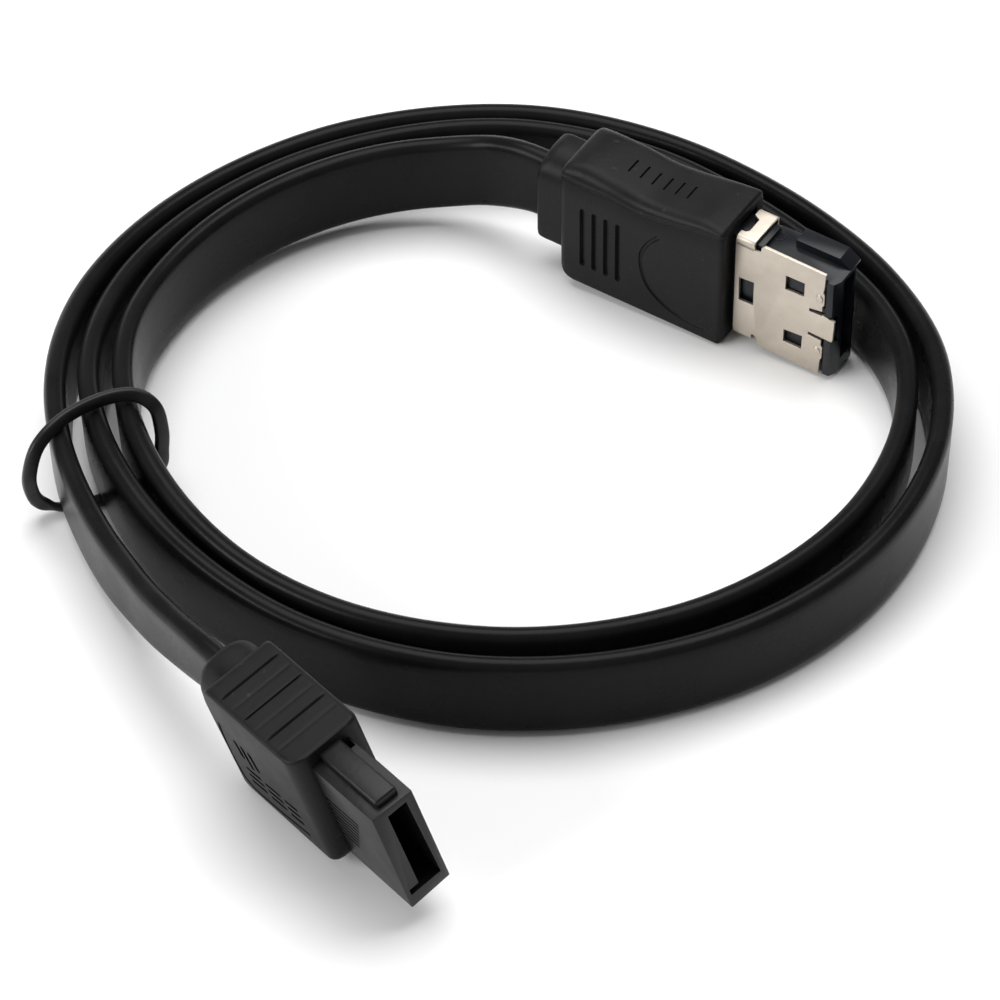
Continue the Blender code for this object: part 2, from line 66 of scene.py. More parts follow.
# Materials
class Nodes:
    """A material's node tree, with short calls for the nodes used here."""

    def __init__(self, name):
        self.mat = bpy.data.materials.new(name)
        self.mat.use_nodes = True
        self.tree = self.mat.node_tree
        self.shader = self.tree.nodes["Principled BSDF"]
        self.coords = self.tree.nodes.new("ShaderNodeTexCoord").outputs["Object"]

    def new(self, kind, **values):
        """A node; each value goes to the input of that name, or else to the setting."""
        node = self.tree.nodes.new(kind)
        for key, value in values.items():
            if key in node.inputs:
                node.inputs[key].default_value = value
            else:
                setattr(node, key, value)
        return node

    def link(self, a, b):
        self.tree.links.new(a, b)

    def noise(self, scale, detail, rough, stretch=None, spin=(0.0, 0.0, 0.0)):
        node = self.new("ShaderNodeTexNoise", Scale=scale, Detail=detail, Roughness=rough)
        source = self.coords
        if stretch:
            mapping = self.new("ShaderNodeMapping", Scale=stretch, Rotation=spin)
            self.link(source, mapping.inputs["Vector"])
            source = mapping.outputs["Vector"]
        self.link(source, node.inputs["Vector"])
        return node.outputs["Fac"]

    def ramp(self, source, span, result=(0.0, 1.0)):
        """The source with the given span spread over the result, and cut off past its ends."""
        node = self.new("ShaderNodeMapRange")
        for key, value in zip(("From Min", "From Max", "To Min", "To Max"), (*span, *result)):
            node.inputs[key].default_value = value
        self.link(source, node.inputs["Value"])
        return node.outputs["Result"]

    def mix(self, factor, first, second):
        """A blend of two colours, each a triple or another node's output."""
        node = self.new("ShaderNodeMix", data_type="RGBA")
        for index, colour in ((6, first), (7, second)):
            if isinstance(colour, tuple):
                node.inputs[index].default_value = (*colour, 1.0)
            else:
                self.link(colour, node.inputs[index])
        self.link(factor, node.inputs[0])
        return node.outputs[2]

    def add(self, a, b, weight):
        """a plus b times weight."""
        node = self.new("ShaderNodeMath", operation="MULTIPLY_ADD")
        node.inputs[1].default_value = weight
        self.link(b, node.inputs[0])
        self.link(a, node.inputs[2])
        return node.outputs[0]

    def surface(self, colour, rough, height, strength, depth):
        """Colour, roughness and bump, joined to the shader; depth is in metres."""
        self.link(colour, self.shader.inputs["Base Color"])
        self.link(rough, self.shader.inputs["Roughness"])
        bump = self.new("ShaderNodeBump", Strength=strength, Distance=depth)
        self.link(height, bump.inputs["Height"])
        self.link(bump.outputs["Normal"], self.shader.inputs["Normal"])


def plastic(name, dark, light, rough, grain, depth, specular=0.5, spots=0.0):
    """Moulded plastic: mottled colour, uneven gloss, fine spark-eroded grain and pale specks."""
    n = Nodes(name)
    cloud = n.noise(scale=260.0, detail=4.0, rough=0.6)
    fine = n.noise(scale=grain, detail=2.0, rough=0.5)
    colour = n.mix(n.ramp(cloud, (0.35, 0.7)), dark, light)
    if spots:
        dots = n.noise(scale=1500.0, detail=1.0, rough=0.4)
        colour = n.mix(n.ramp(dots, (0.74, 0.8), (0.0, spots)), colour, (0.1, 0.1, 0.1))
    n.surface(colour, n.ramp(cloud, (0.3, 0.7), rough), n.add(fine, cloud, 0.4), 0.5, depth)
    n.shader.inputs["Specular IOR Level"].default_value = specular
    return n.mat


def jacket_material():
    """Cable jacket: satin vinyl with slow changes of tone, a fine grain and rubbed streaks."""
    n = Nodes("jacket_vinyl")
    run = n.noise(scale=180.0, detail=3.0, rough=0.55)
    fine = n.noise(scale=2600.0, detail=2.0, rough=0.5)
    scuff = n.noise(scale=700.0, detail=5.0, rough=0.75, stretch=(1.0, 1.0, 0.12), spin=(0.9, 0.5, 0.0))
    colour = n.mix(n.ramp(run, (0.35, 0.7)), (0.0062, 0.0062, 0.0064), (0.0088, 0.0088, 0.0091))
    colour = n.mix(n.ramp(scuff, (0.68, 0.8), (0.0, 0.25)), colour, (0.05, 0.05, 0.05))
    n.surface(colour, n.ramp(run, (0.3, 0.7), (0.24, 0.32)), n.add(fine, run, 0.6), 0.3, 0.00003)
    n.shader.inputs["Specular IOR Level"].default_value = 0.08
    return n.mat


def metal(name, dark, light, rough, grain, depth):
    """Sheet or wire: clouded tone, uneven gloss and a fine grain."""
    n = Nodes(name)
    cloud = n.noise(scale=500.0, detail=4.0, rough=0.6)
    fine = n.noise(scale=grain, detail=3.0, rough=0.6)
    colour = n.mix(n.ramp(cloud, (0.3, 0.7)), dark, light)
    n.surface(colour, n.ramp(fine, (0.3, 0.7), rough), fine, 0.4, depth)
    n.shader.inputs["Metallic"].default_value = 1.0
    return n.mat


JACKET = jacket_material()
TIE = plastic("tie_vinyl", dark=(0.008, 0.008, 0.0084), light=(0.012, 0.012, 0.0125), rough=(0.36, 0.46),
              grain=3000.0, depth=0.00003, specular=0.28)
MOULD = plastic("moulded_vinyl", dark=(0.0055, 0.0055, 0.0058), light=(0.0092, 0.0092, 0.0095),
                rough=(0.4, 0.5), grain=2600.0, depth=0.00004, specular=0.13, spots=0.15)
HOUSING = plastic("housing_plastic", dark=(0.006, 0.006, 0.0063), light=(0.009, 0.009, 0.0093),
                  rough=(0.32, 0.42), grain=2200.0, depth=0.00003, specular=0.24, spots=0.1)
INSERT = plastic("insert_plastic", dark=(0.0028, 0.004, 0.0062), light=(0.0043, 0.006, 0.009),
                 rough=(0.28, 0.38), grain=1800.0, depth=0.00001, specular=0.3)
INNER = plastic("inner_mould", dark=(0.05, 0.05, 0.052), light=(0.09, 0.09, 0.092), rough=(0.5, 0.62),
                grain=2200.0, depth=0.00004)
SHELL = metal("nickel_sheet", dark=(0.55, 0.495, 0.425), light=(0.60, 0.54, 0.465), rough=(0.48, 0.56),
              grain=1500.0, depth=0.000003)
CONTACT = metal("gilt_spring", dark=(0.72, 0.52, 0.22), light=(0.86, 0.66, 0.30), rough=(0.2, 0.32),
                grain=2500.0, depth=0.00001)
LEAD = metal("tinned_wire", dark=(0.6, 0.58, 0.55), light=(0.74, 0.72, 0.69), rough=(0.3, 0.42),
             grain=2500.0, depth=0.00001)


# Mesh tools; a plug's forms are built in millimetres in its own frame and placed by piece()
def piece(name, mesh, mat, place=None, smooth=35.0):
    if place:
        mesh.transform(place @ Matrix.Diagonal((MM, MM, MM, 1.0)))
    obj = bpy.data.objects.new(name, mesh)
    pieces.objects.link(obj)
    mesh.materials.clear()
    mesh.materials.append(mat)
    mesh.shade_smooth()
    mesh.set_sharp_from_angle(angle=math.radians(smooth))
    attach(obj, "root")
    return obj


def finished(build):
    bmesh.ops.recalc_face_normals(build, faces=build.faces)
    mesh = bpy.data.meshes.new("form")
    build.to_mesh(mesh)
    build.free()
    return mesh


def loft(rings, closed=False):
    """A mesh through rings of points; closed joins the last ring to the first, else both ends get a face."""
    build = bmesh.new()
    rows = [[build.verts.new(p) for p in ring] for ring in rings]
    count = len(rows[0])
    pairs = list(zip(rows, rows[1:]))
    if closed:
        pairs.append((rows[-1], rows[0]))
    for here, after in pairs:
        for j in range(count):
            build.faces.new((here[j], here[(j + 1) % count], after[(j + 1) % count], after[j]))
    if not closed:
        build.faces.new(rows[0])
        build.faces.new(rows[-1])
    return finished(build)


def box(low, high):
    build = bmesh.new()
    size = [b - a for a, b in zip(low, high)]
    middle = [(a + b) * 0.5 for a, b in zip(low, high)]
    bmesh.ops.create_cube(build, size=1.0, matrix=Matrix.Translation(middle) @ Matrix.Diagonal((*size, 1.0)))
    return finished(build)


def slab(outline, low, high):
    """A slab with an outline in X and Z, from low to high along Y."""
    return loft([[(x, y, z) for x, z in outline] for y in (low, high)])


def prism(outline, low, high):
    """A slab with an outline in X and Y, from low to high along Z."""
    return loft([[(x, y, z) for x, y in outline] for z in (low, high)])


def rail(outline, rear, front):
    """A bar with an outline in Y and Z, from rear to front along X."""
    return loft([[(x, y, z) for y, z in outline] for x in (rear, front)])


def join(forms):
    build = bmesh.new()
    for form in forms:
        build.from_mesh(form)
    return finished(build)


def applied(mesh, kind, **values):
    """The mesh with one modifier applied."""
    obj = bpy.data.objects.new("form", mesh)
    scene.collection.objects.link(obj)
    mod = obj.modifiers.new("step", kind)
    for key, value in values.items():
        setattr(mod, key, value)
    graph = bpy.context.evaluated_depsgraph_get()
    graph.update()
    result = bpy.data.meshes.new_from_object(obj.evaluated_get(graph))
    bpy.data.objects.remove(obj, do_unlink=True)
    return result


def carve(mesh, tools, operation="DIFFERENCE"):
    """The mesh cut by tools that stay clear of each other, or joined with them."""
    tool = bpy.data.objects.new("tool", join(tools))
    scene.collection.objects.link(tool)
    result = applied(mesh, "BOOLEAN", operation=operation, solver="EXACT", object=tool)
    bpy.data.objects.remove(tool, do_unlink=True)
    return result


def rounded(mesh, width, segments=2, angle=30.0):
    return applied(mesh, "BEVEL", width=width, segments=segments, limit_method="ANGLE",
                   angle_limit=math.radians(angle), use_clamp_overlap=True)


def full_turn(count):
    return [2 * math.pi * k / count for k in range(count)]


def arc(cy, cz, ry, rz, start, stop, steps):
    turns = [math.radians(start + (stop - start) * k / steps) for k in range(steps + 1)]
    return [(cy + ry * math.cos(t), cz + rz * math.sin(t)) for t in turns]


def corner(cy, cz, radius, start, steps=4):
    """A quarter turn round a section's corner, from start degrees back by 90."""
    return arc(cy, cz, radius, radius, start, start - 90, steps)


def swell(value, power):
    """A sine or cosine pushed outward, which makes a circle into a soft rectangle."""
    return math.copysign(abs(value) ** power, value)


def tube(path, radius, sides=10):
    """A round bar along a path in X and Z, used to engrave lines."""
    points = [Vector(p) for p in path]
    across = Vector((0.0, 1.0, 0.0))
    rings = []
    for k, spot in enumerate(points):
        ahead = (points[min(k + 1, len(points) - 1)] - points[max(k - 1, 0)]).normalized()
        side = ahead.cross(across).normalized()
        rings.append([spot + (side * math.cos(t) + across * math.sin(t)) * radius for t in full_turn(sides)])
    return loft(rings)


def hermite(values, where, spots):
    """Values along a smooth curve through the given ones, by distance."""
    size = len(values[0])
    last = len(values) - 1
    slopes = []
    for i in range(last + 1):
        a = max(i - 1, 0)
        b = min(i + 1, last)
        if 0 < i < last:
            h1 = where[i] - where[a]
            h2 = where[b] - where[i]
            slopes.append([((values[i][k] - values[a][k]) / h1 * h2
                            + (values[b][k] - values[i][k]) / h2 * h1) / (h1 + h2) for k in range(size)])
        else:
            slopes.append([(values[b][k] - values[a][k]) / (where[b] - where[a]) for k in range(size)])
    found = []
    i = 0
    for s in spots:
        while i < last - 1 and s > where[i + 1]:
            i += 1
        span = where[i + 1] - where[i]
        t = (s - where[i]) / span
        h0 = 2 * t ** 3 - 3 * t ** 2 + 1
        h1 = t ** 3 - 2 * t ** 2 + t
        h2 = -2 * t ** 3 + 3 * t ** 2
        h3 = t ** 3 - t ** 2
        found.append([h0 * values[i][k] + h1 * span * slopes[i][k] + h2 * values[i + 1][k]
                      + h3 * span * slopes[i + 1][k] for k in range(size)])
    return found


def wave(table, x):
    """Height at x on a smooth curve through (x, height) pairs."""
    return hermite([[v] for _, v in table], [p for p, _ in table], [x])[0][0]


def smooth_path(points, steps):
    """Evenly spaced points on a smooth curve through the given ones."""
    where = [0.0]
    for a, b in zip(points, points[1:]):
        where.append(where[-1] + math.dist(a, b))
    return hermite([list(p) for p in points], where, [where[-1] * k / steps for k in range(steps + 1)])


def inset(distance, radius):
    """How far a rounded end draws in at a distance from its tip."""
    d = min(max(distance, 0.0), radius)
    return radius - math.sqrt(max(radius ** 2 - (radius - d) ** 2, 0.0))


def stations(start, stop, rear, front, steps):
    """Positions along a plug, closer together in its rounded ends."""
    end_steps = 6
    ease = [1 - math.cos(math.pi * k / (2 * end_steps)) for k in range(end_steps)]
    near = [start + rear * e for e in ease]
    far = [stop - front * e for e in reversed(ease)]
    middle = [start + rear + (stop - front - start - rear) * k / steps for k in range(steps + 1)]
    return near + middle + far


# Plugs: the place of each moulding's front face, then roll, pitch and yaw in degrees
ESATA_PLACE = (21.42, 22.9, 7.05)
ESATA_TURN = (4.8, 2.46, -33.14)
SATA_PLACE = (-11.61, -43.12, 8.02)
SATA_TURN = (16.0, -3.46, -52.08)


def plug_frame(place, turn):
    roll, pitch, yaw = (math.radians(v) for v in turn)
    spin = Matrix.Rotation(yaw, 4, "Z") @ Matrix.Rotation(pitch, 4, "Y") @ Matrix.Rotation(roll, 4, "X")
    return Matrix.Translation((Vector(place) + SHIFT) * MM) @ spin


ESATA = plug_frame(ESATA_PLACE, ESATA_TURN)
SATA = plug_frame(SATA_PLACE, SATA_TURN)

# Cable: a flat strip. Its ends lie in each plug's neck, at these places along the plug and this far above
# the plug's middle.
CABLE_WIDTH = 7.7
CABLE_THICK = 1.9
CABLE_STEPS = 640
CABLE_ARC_STEPS = 8
E_CABLE_ENDS = (-20.3, -21.5)
E_CABLE_RISE = -0.1
S_CABLE_ENDS = (-16.8, -14.8)
S_CABLE_RISE = 1.7
LOOP_MIDDLE_Y = 9.0

# Its route round the coil: angle from +X, radius, height of the middle, lean outward
ROUTE = (
    (93.5, 28.95, 6.45, -3), (100, 30.0, 5.75, -1), (107, 30.8, 5.35, 0), (115, 31.4, 5.05, 0),
    (125, 31.8, 4.85, 0), (140, 32.1, 4.75, 1), (155, 32.4, 4.6, 2), (170, 32.6, 4.85, 3),
    (184, 32.4, 5.05, 3), (200, 32.15, 5.05, 2), (214, 32.2, 4.6, 1), (230, 32.45, 4.05, 0),
    (245, 32.8, 3.95, 0), (270, 33.35, 3.95, 0), (300, 34.1, 3.95, 0), (330, 34.8, 3.95, 0),
    (350, 35.15, 3.95, 0), (366, 35.2, 3.95, 0), (376, 34.5, 3.95, 0), (387, 33.4, 3.95, 0),
    (405, 32.65, 3.95, 0), (425, 33.5, 3.95, 0), (447, 34.65, 3.95, 0), (480, 34.85, 3.95, 0),
    (500, 35.05, 4.0, 0), (522, 35.35, 4.5, 1), (543, 35.45, 5.05, 2), (560, 35.0, 5.05, 2),
    (580, 34.95, 4.4, 0), (602, 35.7, 4.0, 0), (623, 36.55, 3.95, 0), (643, 37.2, 3.95, 0),
    (663, 37.9, 3.95, 0), (685, 38.35, 3.95, 0), (710, 38.35, 3.95, 1), (724, 37.95, 3.95, 1),
    (740, 36.75, 3.95, 0), (755, 35.7, 3.95, 0), (769, 35.4, 3.95, 0), (785, 35.9, 3.95, 0),
    (803, 36.75, 3.95, 0), (832, 37.1, 3.95, 0), (855, 37.3, 3.95, 0), (886, 38.0, 4.6, 1),
    (903, 38.3, 5.05, 2), (915, 38.5, 5.05, 3), (926, 38.83, 5.05, 4), (935, 39.55, 5.3, 5),
    (940.8, 40.25, 5.75, 7), (946.9, 41.4, 6.5, 10), (953.1, 42.8, 7.4, 13))


def cable_line():
    """Places along the middle of the cable in metres, each with its lean in degrees."""
    start = [ESATA @ Vector((x * MM, 0.0, E_CABLE_RISE * MM)) for x in E_CABLE_ENDS]
    stop = [SATA @ Vector((x * MM, 0.0, S_CABLE_RISE * MM)) for x in S_CABLE_ENDS]
    knots = [(*p, -ESATA_TURN[0]) for p in start]
    for angle, radius, height, lean in ROUTE:
        turn = math.radians(angle)
        x = SHIFT.x + radius * math.cos(turn)
        y = LOOP_MIDDLE_Y + SHIFT.y + radius * math.sin(turn)
        knots.append((x * MM, y * MM, height * MM, lean))
    knots += [(*p, SATA_TURN[0]) for p in stop]
    where = [0.0]
    for a, b in zip(knots, knots[1:]):
        where.append(where[-1] + (Vector(b[:3]) - Vector(a[:3])).length)
    return hermite(knots, where, [where[-1] * k / CABLE_STEPS for k in range(CABLE_STEPS + 1)])


def cable_section():
    """The strip's section: two round edges joined by flat faces with some points along them."""
    radius = CABLE_THICK * 0.5 * MM
    reach = CABLE_WIDTH * 0.5 * MM - radius
    flat = [reach * (1 - 0.25 * k) for k in range(1, 8)]
    section = []
    for side in (1, -1):
        for k in range(CABLE_ARC_STEPS + 1):
            turn = math.pi * k / CABLE_ARC_STEPS
            section.append((side * radius * math.cos(turn), side * (reach + radius * math.sin(turn))))
        section += [(-side * radius, side * f) for f in flat]
    return section


def cable_mesh(line):
    spots = [Vector(p[:3]) for p in line]
    section = cable_section()
    rings = []
    for k, spot in enumerate(spots):
        ahead = (spots[min(k + 1, len(spots) - 1)] - spots[max(k - 1, 0)]).normalized()
        out = ahead.cross(Vector((0.0, 0.0, 1.0))).normalized()
        up = out.cross(ahead)
        lean = math.radians(line[k][3])
        across = out * math.cos(lean) - up * math.sin(lean)
        tall = up * math.cos(lean) + out * math.sin(lean)
        rings.append([spot + across * x + tall * y for x, y in section])
    return loft(rings)


line = cable_line()
cable = piece("cable", cable_mesh(line), JACKET, None, 60.0)
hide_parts("cable_jacket")

# Tie band: over the bundle, down outside it and back beneath. The last number of each point is the
# section's turn in degrees: 0 lies flat, 90 stands on edge.
TIE_WIDE = 1.25
TIE_THICK = 0.75
TIE_STEPS = 150
TIE_SIDES = 20
TIE_SQUARE = 0.55
TIE_ROUTE = (
    (-31.3, 2.6, 9.75, 90), (-34.0, 1.8, 9.85, 90), (-36.9, -0.5, 9.8, 90), (-39.0, -2.6, 8.6, 90),
    (-39.9, -3.3, 5.9, 90), (-39.9, -2.7, 3.3, 90), (-39.3, -2.0, 1.5, 70), (-37.7, -1.6, 0.65, 20),
    (-35.3, -1.0, 0.5, 0), (-32.8, 0.4, 0.5, 0), (-30.6, 1.7, 0.6, 20), (-29.3, 2.3, 1.9, 70),
    (-29.1, 2.4, 3.8, 90), (-29.0, 2.3, 6.0, 90), (-29.5, 2.4, 8.6, 90))


def tie_line():
    """Places round the band, and the section's turn at each, on a closed smooth curve."""
    knots = [Vector(p[:3]) + SHIFT for p in TIE_ROUTE]
    count = len(knots)
    spots = []
    turns = []
    for k in range(TIE_STEPS):
        place = k * count / TIE_STEPS
        i = int(place)
        t = place - i
        a, b, c, d = (knots[(i + j) % count] for j in (-1, 0, 1, 2))
        spots.append(0.5 * (2 * b + (c - a) * t + (2 * a - 5 * b + 4 * c - d) * t ** 2
                            + (3 * b - a - 3 * c + d) * t ** 3))
        first, last = (TIE_ROUTE[(i + j) % count][3] for j in (0, 1))
        turns.append(math.radians(first + (last - first) * t * t * (3 - 2 * t)))
    return spots, turns


def tie_mesh():
    spots, turns = tie_line()
    middle = sum(spots, Vector()) / TIE_STEPS
    through = Vector()
    for a, b in zip(spots, spots[1:] + spots[:1]):
        through += (a - middle).cross(b - middle)
    half_wide = TIE_WIDE * 0.5
    half_thick = TIE_THICK * 0.5
    section = [(half_wide * swell(math.cos(t), TIE_SQUARE), half_thick * swell(math.sin(t), TIE_SQUARE))
               for t in full_turn(TIE_SIDES)]
    rings = []
    for k, spot in enumerate(spots):
        ahead = (spots[(k + 1) % TIE_STEPS] - spots[k - 1]).normalized()
        out = ahead.cross(through).normalized()
        side = ahead.cross(out)
        wide = side * math.cos(turns[k]) + out * math.sin(turns[k])
        thin = out * math.cos(turns[k]) - side * math.sin(turns[k])
        rings.append([(spot + wide * x + thin * y) * MM for x, y in section])
    return loft(rings, True)


tie = piece("tie_band", tie_mesh(), TIE, None, 60.0)
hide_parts("tie_ring")

# External plug's moulding: heights of its upper edge and of the ridge below it, by place along the plug.
# At the plug's rounded ends the ridge draws in by a share of what the sides do.
E_HIGH = ((-17.2, 6.45), (-15.35, 6.95), (-12.0, 6.82), (-8.5, 6.37), (-5.2, 6.59), (-1.8, 7.04),
          (0.2, 6.92))
E_RIDGE = ((-17.2, 5.6), (-14.5, 5.44), (-11.9, 5.44), (-8.95, 5.12), (-6.35, 5.36), (-3.0, 5.95),
           (0.2, 6.45))
E_REAR = -17.0
E_FRONT = 0.1
E_REAR_ROUND = 0.7
E_FRONT_ROUND = 0.4
E_HEEL_ROUND = 1.7
E_HALF = 3.57
E_LOW = -6.8
E_EDGE = 0.4
E_RIDGE_DEPTH = 0.3
E_RIDGE_DRAW = 0.3
E_SIDE_STEPS = 7
E_FLAT = 1.4

# The small step at the ridge: in from the side, up from the ridge. Above it a rounded shoulder, which
# reaches further in where it is taller. Then the slight crown: out from the middle, up from the upper edge.
E_STEP = ((0.05, -0.17), (0.13, -0.02), (0.1, 0.12))
E_SHOULDER_IN = 0.06
E_SHOULDER_UP = 0.2
E_SHOULDER_REACH = 0.35
E_SHOULDER_GROWTH = 0.75
E_CROWN = ((E_FLAT, 0.03), (0.5, 0.05))

# Finger grooves on both wide sides: places, ends, and (depth, half width) from the mouth to the floor
E_GROOVES = (-14.45, -13.2, -11.95, -10.7)
E_GROOVE_LOW = -4.05
E_GROOVE_HIGH = 2.45
E_GROOVE_SHAPE = ((-0.3, 0.36), (0.0, 0.28), (0.22, 0.2), (0.34, 0.1))

# Notches across the upper edge
E_NOTCHES = 6
E_NOTCH_START = -11.35
E_NOTCH_PITCH = 1.22
E_NOTCH_REACH = 0.85
E_NOTCH_SHAPE = ((-0.16, 0.3), (-0.05, -0.16), (0.05, -0.16), (0.16, 0.3))

# Engraved half-moon line on the near side, and the pocket in the front end beside the insert's step
E_MOON = ((-6.5, 3.3), (-7.5, 2.1), (-8.2, 0.6), (-8.2, -1.3), (-7.4, -3.3), (-5.74, -4.64), (-3.82, -5.3),
          (-1.56, -5.35))
E_MOON_SIDE = -3.6
E_MOON_RADIUS = 0.23
E_POCKET = ((-0.75, -0.5, 4.3), (0.5, 2.3, 5.95))

# Neck round the cable; above its bend the near side leans over to the top. Its rear end rounds off further
# at the underside and the top: (radius, share).
E_NECK_REAR = -20.25
E_NECK_FRONT = -16.0
E_NECK_ROUND = 0.4
E_NECK_HALF = 2.3
E_NECK_LOW = -4.72
E_NECK_HIGH = 5.15
E_NECK_BEND = 2.7
E_NECK_LEAN = 0.7
E_NECK_EDGE = 0.5
E_NECK_LOW_ROUND = (0.8, 0.6)
E_NECK_HIGH_ROUND = (1.3, 0.7)


def mirrored(half):
    """A closed section from its near half, listed from the underside up to the top."""
    return half + [(-y, z) for y, z in reversed(half)]


def esata_body():
    rings = []
    for x in stations(E_REAR, E_FRONT, E_REAR_ROUND, E_FRONT_ROUND, 90):
        draw = inset(x - E_REAR, E_REAR_ROUND) + inset(E_FRONT - x, E_FRONT_ROUND)
        half = E_HALF - draw
        high = wave(E_HIGH, x) - draw
        ridge = min(wave(E_RIDGE, x), high - E_RIDGE_DEPTH) - draw * E_RIDGE_DRAW
        low = E_LOW + draw + inset(x - E_REAR, E_HEEL_ROUND)
        foot = low + E_EDGE
        shelf = ridge - E_RIDGE_DEPTH
        bend = ridge + E_SHOULDER_UP
        reach = E_SHOULDER_REACH + E_SHOULDER_GROWTH * (high - ridge)
        points = [(-E_FLAT, low)] + corner(-half + E_EDGE, foot, E_EDGE, 270, 5)
        points += [(-half, foot + (shelf - foot) * k / E_SIDE_STEPS) for k in range(1, E_SIDE_STEPS + 1)]
        points += [(-half + deep, ridge + rise) for deep, rise in E_STEP]
        points += arc(-half + E_SHOULDER_IN + reach, bend, reach, high - bend, 180, 90, 9)
        points += [(-out, high + rise) for out, rise in E_CROWN]
        rings.append([(x, y, z) for y, z in mirrored(points)])
    return loft(rings)


def finger_groove(x, side):
    """A slot with rounded ends, narrower at its floor."""
    rings = []
    for depth, half in E_GROOVE_SHAPE:
        y = side * (E_HALF - depth)
        upper = arc(x, E_GROOVE_HIGH, half, half, 0, 180, 8)
        lower = arc(x, E_GROOVE_LOW, half, half, 180, 360, 8)
        rings.append([(px, y, pz) for px, pz in upper + lower])
    return loft(rings)


def esata_neck():
    rings = []
    edge = E_NECK_EDGE
    for x in stations(E_NECK_REAR, E_NECK_FRONT, E_NECK_ROUND, 0.3, 8):
        behind = x - E_NECK_REAR
        draw = inset(behind, E_NECK_ROUND)
        half = E_NECK_HALF - draw
        low = E_NECK_LOW + draw + inset(behind, E_NECK_LOW_ROUND[0]) * E_NECK_LOW_ROUND[1]
        high = E_NECK_HIGH - draw - inset(behind, E_NECK_HIGH_ROUND[0]) * E_NECK_HIGH_ROUND[1]
        bend = E_NECK_BEND - draw
        points = corner(-half + edge, low + edge, edge, 270)
        points += [(-half, low + edge + (bend - low - edge) * k / 4) for k in range(1, 5)]
        points += arc(E_NECK_LEAN, bend, half + E_NECK_LEAN, high - bend, 180, 90, 9)[1:]
        points += corner(half - edge, high - edge, edge, 90)
        points += corner(half - edge, low + edge, edge, 0)
        rings.append([(x, y, z) for y, z in points])
    return loft(rings)


def esata_mould():
    tools = [finger_groove(x, side) for x in E_GROOVES for side in (-1, 1)]
    for k in range(E_NOTCHES):
        x = E_NOTCH_START + E_NOTCH_PITCH * k
        top = wave(E_HIGH, x)
        tools.append(slab([(x + along, top + rise) for along, rise in E_NOTCH_SHAPE],
                          -E_NOTCH_REACH, E_NOTCH_REACH))
    tools.append(tube([(x, E_MOON_SIDE, z) for x, z in smooth_path(E_MOON, 40)], E_MOON_RADIUS))
    tools.append(box(*E_POCKET))
    body = carve(esata_body(), tools)
    return join([body, esata_neck()])


moulding = piece("esata_moulding", esata_mould(), MOULD, ESATA, 38.0)
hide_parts("esata_overmould")

# External plug's folded metal shell: outlines in X and Z of its near plate, of the windows in that plate
# and of the plain far plate
SHEET_OUT = 2.14
SHEET_THICK = 0.28
SHEET_IN = SHEET_OUT - SHEET_THICK
PLATE = (
    (0.62, -5.2), (2.5, -5.2), (2.6, -5.0), (3.05, -5.25), (3.2, -6.12), (9.46, -6.3), (9.58, -4.45),
    (9.74, -4.2), (9.74, -2.85), (9.56, -2.6), (9.6, -2.05), (8.25, -1.95), (8.25, -1.6), (10.62, -1.72),
    (10.72, -1.5), (10.82, 0.8), (9.65, 1.12), (9.5, 0.98), (8.25, 0.95), (8.25, 1.3), (9.56, 1.52),
    (9.54, 2.1), (9.72, 2.35), (9.72, 3.6), (9.56, 3.85), (9.66, 4.4), (9.72, 6.04), (3.5, 6.2),
    (3.2, 5.95), (3.15, 5.3), (2.55, 5.2), (2.5, 5.5), (0.62, 5.5))
WINDOW_SPAN = (-3.0, -1.0)
WINDOWS = (
    ((5.75, 2.3), (7.68, 2.35), (7.69, 4.0), (5.77, 3.98)),
    ((5.79, -4.13), (7.65, -4.15), (7.7, -2.5), (5.8, -2.66)),
    ((1.1, -1.45), (2.6, -1.42), (2.6, 1.4), (1.05, 1.28)))
FAR_PLATE = ((0.7, -5.1), (7.6, -4.8), (7.6, 4.8), (0.7, 5.1))

# Bumps on the near plate: places along Z at one X, (radius, height) from the foot to the crown, and how
# much of its radius a bump has along X
BUMP_X = 9.24
BUMP_FOOT = -2.12
BUMPS = (2.95, -3.5)
BUMP_SQUASH = 0.8
BUMP_SHAPE = ((0.5, 0.0), (0.4, 0.12), (0.2, 0.17))

# Straps over the narrow sides, and the bite out of the upper one
STRAP_REAR = 0.62
STRAP_FRONT = 2.5
STRAP_HALF = 6.14
STRAP_NEAR_FOOT = 5.15
STRAP_FAR_FOOT = 5.0
UPPER_BEND = 0.42
LOWER_BEND = 0.85
STRAP_BITE = ((0.2, -1.25), (1.05, -1.25), (1.3, -0.95), (1.3, 0.7), (0.2, 1.3))
BITE_SPAN = (5.4, 6.7)


def strap(sign, bend):
    """One of the two bent straps that join the plates over a narrow side."""
    edge = sign * (STRAP_HALF - bend)
    side = SHEET_OUT - bend
    less = bend - SHEET_THICK
    outer = arc(-side, edge, bend, sign * bend, 180, 90, 8) + arc(side, edge, bend, sign * bend, 90, 0, 8)
    inner = arc(side, edge, less, sign * less, 0, 90, 8) + arc(-side, edge, less, sign * less, 90, 180, 8)
    near_foot = sign * STRAP_NEAR_FOOT
    far_foot = sign * STRAP_FAR_FOOT
    outline = [(-SHEET_OUT, near_foot)] + outer + [(SHEET_OUT, far_foot), (SHEET_IN, far_foot)]
    outline += inner + [(-SHEET_IN, near_foot)]
    return rounded(rail(outline, STRAP_REAR, STRAP_FRONT), 0.05, 2, 40.0)


def bump(z):
    """A pressed bump on the near plate, a little shorter than it is tall."""
    rings = []
    for radius, height in BUMP_SHAPE:
        rings.append([(BUMP_X + radius * math.cos(t) * BUMP_SQUASH, BUMP_FOOT - height,
                       z + radius * math.sin(t)) for t in full_turn(16)])
    return loft(rings)


